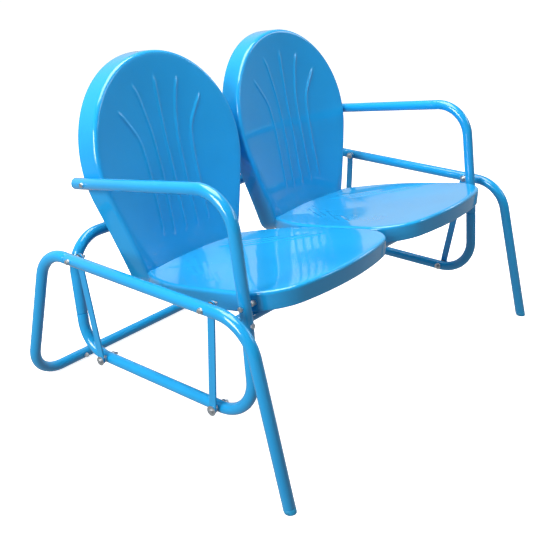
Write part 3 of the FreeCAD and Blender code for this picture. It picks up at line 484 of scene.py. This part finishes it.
def cap_profile(cap, stem, nose=3.4):
    """Moulded end cap from its nose (negative distance) to the end of its stem."""
    steps = 6
    profile = [(-cap, TUBE_R * 0.45)]
    for k in range(steps + 1):
        turn = pi / 2 * k / steps
        profile.append((-cap + nose * (1 - cos(turn)), TUBE_R - nose + nose * sin(turn)))
    profile += [(-0.35, TUBE_R), (-0.1, TUBE_R - 0.3), (0.0, PLUG_R)]
    return profile + [(stem - 1.0, PLUG_R), (stem, PLUG_R - 0.8)]


def foot_cap_skin(foot, up):
    """Cap under the front leg, its nose pressed level where it stands on the ground."""
    overlong = FOOT_CAP + 5.5
    mouth = foot + up * FOOT_CAP
    cap = sweep([mouth, foot + up * (FOOT_CAP + 1)], cap_profile(overlong, 15.0))
    return Build([(x, y, max(z, 0.0)) for x, y, z in cap.verts], cap.faces)


# ---------------------------------------------------------------- swinging frame
def riser(z):
    return on_swing(on_line(RISER_KNEE, LOWER_FRONT, z))


def rear_riser(z):
    return on_swing(on_line(LOWER_REAR, REAR_TOP, z))


def front_bar_end():
    """End of the seat bar, which lies against the risers."""
    along = Vector((0, RISER_KNEE[0] - LOWER_FRONT[0], RISER_KNEE[1] - LOWER_FRONT[1])).normalized()
    ahead = Vector((0, along.z, -along.y))
    point = riser(FRONT_JOINT_Z) + ahead * (2 * TUBE_R + FRONT_BAR_GAP)
    return Vector((FRONT_BAR_HALF, point.y, point.z))


def make_swing_tubes():
    corners = [
        on_swing(ARM_END), on_swing(ARM_CORNER), on_swing(RISER_KNEE), riser(FRONT_SEAM_Z + SEAM),
    ]
    arm = tube_skin(corners, [ARM_BEND_R, KNEE_BEND_R], plain_end(), plain_end(SEAM_EDGE))
    paired("arm", arm, "swing", ENAMELLED)

    corners = [
        riser(FRONT_SEAM_Z - SEAM), on_swing(LOWER_FRONT), on_swing(LOWER_REAR),
        rear_riser(REAR_SEAM_Z - SEAM),
    ]
    bends = [LOWER_FRONT_R, LOWER_REAR_R]
    rail = tube_skin(corners, bends, spigot_end(FRONT_SPIGOT), plain_end(SEAM_EDGE))
    paired("lower_rail", rail, "swing", ENAMELLED)

    side = rear_riser(REAR_SEAM_Z + SEAM)
    top = on_swing(REAR_TOP)
    spigot = spigot_end(REAR_SPIGOT)
    rear = tube_skin([side, top, flip(top), flip(side)], [REAR_TOP_R] * 2, spigot, spigot)
    skin_piece("rear_frame_tube", rear, "swing", ENAMELLED)

    right = sweep([on_swing(ARM_END), on_swing(ARM_CORNER)], cap_profile(END_CAP, 15.0))
    bar_end = front_bar_end()
    right.join(sweep([bar_end, flip(bar_end)], cap_profile(END_CAP, 4.5)))
    plugs = Build(right.verts, right.faces)
    plugs.join(right.mirrored())
    skin_piece("end_plugs", plugs, "swing", MOULDED)


make_base()
make_swing_tubes()


# ---------------------------------------------------------------- sheet metal
REAR_CORNER_R = 12.0     # seat corners beside the back
REAR_CORNER_IN = 70.0    # where the rear edge turns forward, from the seat's side
SEAT_BACK_GAP = 0.25
DISH_EASE = 3.0          # mm2, softens the border of the back's hollow
DISH_BELOW = 30.0        # the hollow's sizes run this far past the back's lower edge
EDGE_BELOW = 15.0        # and the search for the seat's rear edge this far
HALVINGS = 40

SEAT_DISH = 7.0
SEAT_MIDDLE = (0.0, -70.0)
BACK_MIDDLE = (0.0, 20.0)
SKIRT_DROPS = (SKIRT, SKIRT - 2, 32, 24, 16, RIM_R + 1)
FLANGE_DEPTHS = (BACK_DEPTH, BACK_DEPTH - 2, 42, 33, 24, 16, RIM_R + 1)

# Points on the middle lines of the pressed ribs, on the +X side: (x, y) on a seat,
# and (x, height) on a back. Then height, half width, and the run-out at each end.
SEAT_RIBS = (
    ((-63, 102), (-156, -15)),
    ((-33, 108), (-142, -17)),
    ((-55, 54), (-182, -78)),
    ((-112, -30), (-187, -113)),
)
SEAT_RIB_RISE, SEAT_RIB_HALF, SEAT_RIB_FADE = 1.0, 7.0, 30.0
BACK_RIBS = (
    ((0, 226), (0, 40), (0, -146)),
    ((73, 212), (57, 172), (41, 100), (37, 40), (36, -30), (38, -100), (40, -146)),
    ((133, 162), (104, 123), (84, 88), (76, 40), (74, -20), (74, -80), (76, -138)),
)
BACK_RIB_RISE, BACK_RIB_HALF, BACK_RIB_FADE = 2.6, 5.6, 26.0


def seat_top(y):
    return SEAT_REF[1] - SEAT_SLOPE * (y - SEAT_REF[0])


def back_sag(h):
    return BACK_CURVE_R - np.sqrt(BACK_CURVE_R ** 2 - h ** 2)


def from_back(x, depth, h):
    """Seat-frame point from across, depth behind the face's line, and height up the back."""
    behind = depth + back_sag(h)
    y = BACK_ORIGIN[0] + behind * cos(BACK_LEAN) + h * sin(BACK_LEAN)
    z = BACK_ORIGIN[1] - behind * sin(BACK_LEAN) + h * cos(BACK_LEAN)
    return x, y, z


def hollow_radius(half):
    """Radius of the arc that is as deep as the hollow and as wide as given."""
    return (half ** 2 + BACK_DISH ** 2) / (2 * BACK_DISH)


def back_dish(x, h):
    """Depth of the hollow in the back's face below its rim, eased in at its border."""
    tangent_h = BACK_CENTRE_H - BACK_R * sin(BACK_SIDE_ANGLE)
    low = BACK_BOTTOM_H - DISH_BELOW
    half = BACK_R * cos(BACK_SIDE_ANGLE) - BACK_RIM
    low_half = half - (tangent_h - low) * tan(BACK_SIDE_ANGLE)
    radii = [hollow_radius(w) for w in (low_half, half, BACK_R - BACK_RIM)]
    radius = np.interp(h, [low, tangent_h, BACK_CENTRE_H], radii)
    rise = np.maximum(h - BACK_CENTRE_H, 0.0)
    depth = BACK_DISH - radius + np.sqrt(radius ** 2 - x ** 2 - rise ** 2)
    depth = depth - back_sag(np.minimum(h, 0.0))
    return (depth + np.sqrt(depth ** 2 + DISH_EASE)) / 2


def rear_edge(x, drop):
    """Where the back's face meets the height a given drop below the seat's top."""
    low = np.full_like(x, BACK_BOTTOM_H - EDGE_BELOW)
    high = np.zeros_like(x)
    for _ in range(HALVINGS):
        h = (low + high) / 2
        _, y, z = from_back(x, back_dish(x, h), h)
        above = z > seat_top(y) - drop
        high = np.where(above, h, high)
        low = np.where(above, low, h)
    return y


def arc_points(cx, cy, radius, start, end, count):
    angles = np.linspace(start, end, count, endpoint=False)
    return np.stack([cx + radius * np.cos(angles), cy + radius * np.sin(angles)], axis=1)


def closed_by_mirror(half):
    """Whole loop from its +X half, which runs from the middle line to the middle line."""
    other = half[::-1].copy()
    other[:, 0] *= -1
    return np.concatenate([half, other[1:-1]])


def seat_loop(inset, drop):
    """Plan of the seat, from the middle of its front round to the middle of its rear."""
    front_n, corner_n, straight_n, side_n, round_n, rear_n = 60, 56, 36, 76, 14, 60
    front_cy = SEAT_FRONT_Y + SEAT_FRONT_R
    corner_cx = SEAT_HALF - SEAT_CORNER_R
    corner_cy = front_cy - sqrt((SEAT_FRONT_R - SEAT_CORNER_R) ** 2 - corner_cx ** 2)
    tilt = atan2(corner_cx, front_cy - corner_cy)
    side_cx = SEAT_HALF - SEAT_SIDE_R
    corner_x = np.array([SEAT_HALF - REAR_CORNER_IN])
    rear = float(rear_edge(corner_x, drop)[0]) - SEAT_BACK_GAP
    round_y = rear - REAR_CORNER_R
    reach = sqrt((SEAT_SIDE_R - REAR_CORNER_R) ** 2 - (round_y - SEAT_SIDE_Y) ** 2)
    round_x = side_cx + reach
    side_end = atan2(round_y - SEAT_SIDE_Y, reach)
    straight = np.linspace(corner_cy, SEAT_SIDE_Y, straight_n, endpoint=False)
    back_line = np.linspace(round_x, 0.0, rear_n)
    back_y = np.maximum(rear_edge(back_line, drop) - SEAT_BACK_GAP, rear)
    half_loop = np.concatenate([
        arc_points(0, front_cy, SEAT_FRONT_R - inset, -pi / 2, tilt - pi / 2, front_n),
        arc_points(corner_cx, corner_cy, SEAT_CORNER_R - inset, tilt - pi / 2, 0, corner_n),
        np.stack([np.full(straight_n, SEAT_HALF - inset), straight], axis=1),
        arc_points(side_cx, SEAT_SIDE_Y, SEAT_SIDE_R - inset, 0, side_end, side_n),
        arc_points(round_x, round_y, REAR_CORNER_R - inset, side_end, pi / 2, round_n),
        np.stack([back_line, back_y - inset], axis=1),
    ])
    return closed_by_mirror(half_loop)


def back_loop(grow):
    """Outline of the back, from the top round to the middle of its lower edge."""
    head_n, side_n, corner_n, foot_n = 150, 60, 26, 44
    radius = BACK_R + grow
    bottom = BACK_BOTTOM_H - grow
    tangent_x = radius * cos(BACK_SIDE_ANGLE)
    tangent_h = BACK_CENTRE_H - radius * sin(BACK_SIDE_ANGLE)
    corner_x = tangent_x - (tangent_h - bottom) * tan(BACK_SIDE_ANGLE)
    corner_r = BACK_CORNER_R + grow
    reach = corner_r * tan((pi / 2 - BACK_SIDE_ANGLE) / 2)
    first = (corner_x + reach * sin(BACK_SIDE_ANGLE), bottom + reach * cos(BACK_SIDE_ANGLE))
    last = corner_x - reach
    side = np.linspace(0, 1, side_n, endpoint=False)[:, None]
    half_loop = np.concatenate([
        arc_points(0, BACK_CENTRE_H, radius, pi / 2, -BACK_SIDE_ANGLE, head_n),
        np.array([[tangent_x, tangent_h]]) * (1 - side) + np.array([first]) * side,
        arc_points(last, bottom + corner_r, corner_r, -BACK_SIDE_ANGLE, -pi / 2, corner_n),
        np.stack([np.linspace(last, 0, foot_n), np.full(foot_n, bottom)], axis=1),
    ])
    return closed_by_mirror(half_loop)


def rib_line(points):
    """Smooth line through the points of a pressed rib."""
    p = np.array(points, dtype=float)
    p = np.concatenate([[2 * p[0] - p[1]], p, [2 * p[-1] - p[-2]]])
    t = np.linspace(0, 1, RIB_STEPS, endpoint=False)[:, None]
    runs = []
    for a, b, c, d in zip(p, p[1:], p[2:], p[3:]):
        bend = 2 * a - 5 * b + 4 * c - d
        runs.append(b + 0.5 * t * (c - a + t * (bend + t * (3 * (b - c) + d - a))))
    return np.concatenate(runs + [p[-2:-1]])


def rib_lines(ribs):
    """Lines of a fan of ribs and of its mirror image."""
    return [rib_line([(side * x, h) for x, h in rib]) for rib in ribs for side in (-1, 1)]


def rib_rise(plan, lines, height, half_width, fade):
    """Height of the pressed ribs at points of a face; each rib runs out at its ends."""
    x, h = plan[:, 0], plan[:, 1]
    rise = np.zeros_like(x)
    for line in lines:
        steps = np.linalg.norm(np.diff(line, axis=0), axis=1)
        lengths = np.concatenate([[0], np.cumsum(steps)])
        best = np.full(x.shape, np.inf)
        where = np.zeros_like(x)
        for k in range(len(line) - 1):
            a = line[k]
            way = line[k + 1] - a
            t = np.clip(((x - a[0]) * way[0] + (h - a[1]) * way[1]) / way.dot(way), 0, 1)
            gap = np.hypot(x - a[0] - t * way[0], h - a[1] - t * way[1])
            near = gap < best
            best = np.where(near, gap, best)
            where = np.where(near, lengths[k] + t * (lengths[k + 1] - lengths[k]), where)
        across_rib = np.clip(1 - best / half_width, 0, 1)
        crown = np.sin(across_rib * pi / 2) ** 1.5
        end = np.clip(np.minimum(where, lengths[-1] - where) / fade, 0, 1)
        rise = np.maximum(rise, height * crown * end * end * (3 - 2 * end))
    return rise


def rounded_edge():
    """Steps round the rim from side to face: how far in, and how far below the face."""
    for k in range(RIM_STEPS + 1):
        angle = pi / 2 * k / RIM_STEPS
        yield RIM_R * (1 - cos(angle)), RIM_R * (1 - sin(angle))


def inner_plans(edge, middle):
    """Ever smaller copies of a face's edge round its middle, each with its share of the size."""
    for k in range(1, INNER_RINGS + 1):
        share = 1 - k / (INNER_RINGS + 0.5)
        yield share, np.array(middle) + (edge - np.array(middle)) * share


def shell_build(rings, centre):
    """Skin from rings of equal length, closed at its middle by one point."""
    count = len(rings[0])
    verts = np.concatenate(rings + [np.array([centre])])
    faces = []
    for r in range(len(rings) - 1):
        a = r * count
        b = a + count
        for s in range(count):
            t = (s + 1) % count
            faces.append((a + s, a + t, b + t, b + s))
    a = (len(rings) - 1) * count
    for s in range(count):
        faces.append((a + s, a + (s + 1) % count, len(verts) - 1))
    return Build([tuple(v) for v in verts], faces)


def seat_skin():
    """Outer skin of a seat: skirt, rounded rim, and a dished face with faint ribs."""
    rings = []
    levels = [(0, drop) for drop in SKIRT_DROPS] + list(rounded_edge())
    for inset, drop in levels:
        loop = seat_loop(inset, drop)
        rings.append(np.column_stack([loop, seat_top(loop[:, 1]) - drop]))
    lines = rib_lines(SEAT_RIBS)
    for share, plan in inner_plans(rings[-1][:, :2], SEAT_MIDDLE):
        z = seat_top(plan[:, 1]) - SEAT_DISH * (1 - share * share) ** 1.5
        z += rib_rise(plan, lines, SEAT_RIB_RISE, SEAT_RIB_HALF, SEAT_RIB_FADE)
        rings.append(np.column_stack([plan, z]))
    return shell_build(rings, (*SEAT_MIDDLE, seat_top(SEAT_MIDDLE[1]) - SEAT_DISH))


def back_skin():
    """Outer skin of a back: flared flange, rounded rim, and a hollow face with ribs."""
    rings = []
    levels = [(0, depth) for depth in FLANGE_DEPTHS] + list(rounded_edge())
    for inset, depth in levels:
        loop = back_loop(BACK_FLARE * depth / BACK_DEPTH - inset)
        x, h = loop[:, 0], loop[:, 1]
        hollow = back_dish(x, h) * (1 - depth / BACK_DEPTH)
        rings.append(np.column_stack(from_back(x, depth + hollow, h)))
    lines = rib_lines(BACK_RIBS)
    for _, plan in inner_plans(back_loop(-RIM_R), BACK_MIDDLE):
        rise = rib_rise(plan, lines, BACK_RIB_RISE, BACK_RIB_HALF, BACK_RIB_FADE)
        x, h = plan[:, 0], plan[:, 1]
        rings.append(np.column_stack(from_back(x, back_dish(x, h) - rise, h)))
    across, height = BACK_MIDDLE
    centre = from_back(across, back_dish(across, height) - BACK_RIB_RISE, height)
    return shell_build(rings, tuple(float(c) for c in centre))


def make_outward(piece):
    """Turns the faces of an open skin so that they look away from its hollow."""
    work = bmesh.new()
    work.from_mesh(piece.data)
    work.faces.ensure_lookup_table()
    face = work.faces[0]
    middle = sum((v.co for v in work.verts), Vector()) / len(work.verts)
    if face.normal.dot(face.calc_center_median() - middle) < 0:
        bmesh.ops.reverse_faces(work, faces=work.faces)
    work.to_mesh(piece.data)
    work.free()


def thicken(piece):
    """Sheet thickness, inwards from the outer skin."""
    sheet = piece.modifiers.new("sheet", "SOLIDIFY")
    sheet.thickness = SHEET_T * MM
    sheet.offset = -1.0
    sheet.use_even_offset = True
    sheet.use_quality_normals = True


def make_shells():
    for name, skin in (("seat_pan", seat_skin()), ("back_shell", back_skin())):
        for side, sign in SIDES.items():
            piece = skin_piece(f"{side}_{name}", skin.moved(sign * SEAT_X), "swing", ENAMELLED)
            make_outward(piece)
            thicken(piece)


make_shells()


# ---------------------------------------------------------------- CAD pieces that stay
WELD_GAP = 0.02
SHARP_EDGE = radians(38)
PAINTED = ("front_seat_bar", "left_back_struts", "right_back_struts")


def finish_node(name, material, edge, segments=2):
    """Own material on a CAD node, with its sharp edges broken."""
    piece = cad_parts[name]
    for slot in piece.material_slots:
        slot.material = material
    weld = piece.modifiers.new("join", "WELD")
    weld.merge_threshold = WELD_GAP * MM
    bevel = piece.modifiers.new("edge", "BEVEL")
    bevel.width = edge * MM
    bevel.segments = segments
    bevel.limit_method = "ANGLE"
    bevel.angle_limit = SHARP_EDGE
    bevel.harden_normals = False


def finish_frame():
    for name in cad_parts:
        if f"{name}_skin" in bpy.data.objects:
            continue
        if name in PAINTED:
            finish_node(name, PAINT, 0.4)
        elif name.endswith("_bushes"):
            finish_node(name, NYLON, 0.15)
        elif name.endswith("_link"):
            finish_node(name, PAINT, 1.3, 3)
        else:
            finish_node(name, ZINC, 0.2)


finish_frame()


# ---------------------------------------------------------------- studio, in metres
FLOOR_HALF = 150.0
FLOOR_LEVEL = -0.0005
WALL_HEADING = (0.60, 0.80)      # the room's bright end, along X and Y
WALL_LIGHT = (0.14, 0.62)        # strength at its dark and at its bright end
CEILING_SHARE = 0.55             # of the strength of the walls
GROUND_LIGHT = 0.42
ROOM_COLOUR = (0.86, 0.94, 1.0, 1.0)

CAMERA_PLACE = (-1.5863, -1.1438, 1.0471)
CAMERA_YAW, CAMERA_PITCH, CAMERA_ROLL = 0.9156, 0.409, 0.0087    # radians; yaw is from +Y to +X
CAMERA_LENS = 55.48
CAMERA_SENSOR = 36


def make_floor():
    mesh = bpy.data.meshes.new("studio_floor")
    corners = [(-1, -1), (1, -1), (1, 1), (-1, 1)]
    verts = [(x * FLOOR_HALF, y * FLOOR_HALF, FLOOR_LEVEL) for x, y in corners]
    mesh.from_pydata(verts, [], [(0, 1, 2, 3)])
    mesh.materials.append(floor_material())
    floor = bpy.data.objects.new("studio_floor", mesh)
    bpy.context.scene.collection.objects.link(floor)
    floor.visible_glossy = False
    floor.visible_diffuse = False


def area_light(name, place, target, size, power):
    light = bpy.data.lights.new(name, "AREA")
    light.shape = "RECTANGLE"
    light.size, light.size_y = size
    light.energy = power
    lamp = bpy.data.objects.new(name, light)
    lamp.location = place
    aim = Vector(target) - Vector(place)
    lamp.rotation_euler = aim.to_track_quat("-Z", "Y").to_euler()
    bpy.context.scene.collection.objects.link(lamp)


def make_world():
    """Room light: bright along the rear and right walls, dim opposite them and overhead."""
    world = bpy.data.worlds.new("studio")
    bpy.context.scene.world = world
    world.use_nodes = True
    tree = world.node_tree
    background = tree.nodes["Background"]
    coordinates = tree.nodes.new("ShaderNodeTexCoord")
    parts = tree.nodes.new("ShaderNodeSeparateXYZ")
    tree.links.new(coordinates.outputs["Generated"], parts.inputs[0])

    def worked_out(operation, *values):
        node = tree.nodes.new("ShaderNodeMath")
        node.operation = operation
        for socket, value in zip(node.inputs, values):
            if isinstance(value, float):
                socket.default_value = value
            else:
                tree.links.new(value, socket)
        return node.outputs[0]

    def eased(source, from_range, to_range):
        node = tree.nodes.new("ShaderNodeMapRange")
        node.interpolation_type = "SMOOTHSTEP"
        names = ("From Min", "From Max", "To Min", "To Max")
        for name, value in zip(names, (*from_range, *to_range)):
            node.inputs[name].default_value = value
        tree.links.new(source, node.inputs["Value"])
        return node.outputs["Result"]

    x, y, z = parts.outputs
    along_x = worked_out("MULTIPLY", x, WALL_HEADING[0])
    along_y = worked_out("MULTIPLY", y, WALL_HEADING[1])
    walls = eased(worked_out("ADD", along_x, along_y), (-0.35, 0.75), WALL_LIGHT)
    overhead = eased(z, (0.25, 0.9), (1.0, CEILING_SHARE))
    above_ground = eased(z, (-0.12, 0.02), (0.0, 1.0))
    room = worked_out("MULTIPLY", worked_out("MULTIPLY", walls, overhead), above_ground)
    below_ground = worked_out("SUBTRACT", 1.0, above_ground)
    ground = worked_out("MULTIPLY", below_ground, GROUND_LIGHT)
    tree.links.new(worked_out("ADD", room, ground), background.inputs["Strength"])
    background.inputs["Color"].default_value = ROOM_COLOUR


def make_studio():
    make_floor()
    make_world()
    area_light("overhead_softbox", (-0.2, 0.3, 3.0), (0, 0, 0.3), (2.4, 2.0), 118)
    area_light("left_softbox", (-3.2, 0.25, 1.6), (0, 0, 0.45), (1.2, 1.6), 100)
    area_light("front_softbox", (1.4, -2.0, 1.8), (0.0, 0.1, 0.6), (0.6, 0.7), 7)
    area_light("right_softbox", (2.7, -1.2, 1.8), (0.2, 0.1, 0.6), (0.9, 0.6), 8)
    bpy.context.scene.view_settings.view_transform = "Standard"


def make_camera():
    level = cos(CAMERA_PITCH)
    forward = Vector((sin(CAMERA_YAW) * level, cos(CAMERA_YAW) * level, -sin(CAMERA_PITCH)))
    right = Vector((cos(CAMERA_YAW), -sin(CAMERA_YAW), 0))
    up = right.cross(forward)
    rolled_right = right * cos(CAMERA_ROLL) + up * sin(CAMERA_ROLL)
    rolled_up = up * cos(CAMERA_ROLL) - right * sin(CAMERA_ROLL)
    camera = bpy.data.cameras.new("camera")
    camera.lens = CAMERA_LENS
    camera.sensor_width = CAMERA_SENSOR
    camera.clip_end = 500
    holder = bpy.data.objects.new("camera", camera)
    turn = Matrix((rolled_right, rolled_up, -forward)).transposed()
    holder.matrix_world = Matrix.Translation(CAMERA_PLACE) @ turn.to_4x4()
    bpy.context.scene.collection.objects.link(holder)
    bpy.context.scene.camera = holder


make_studio()
make_camera()
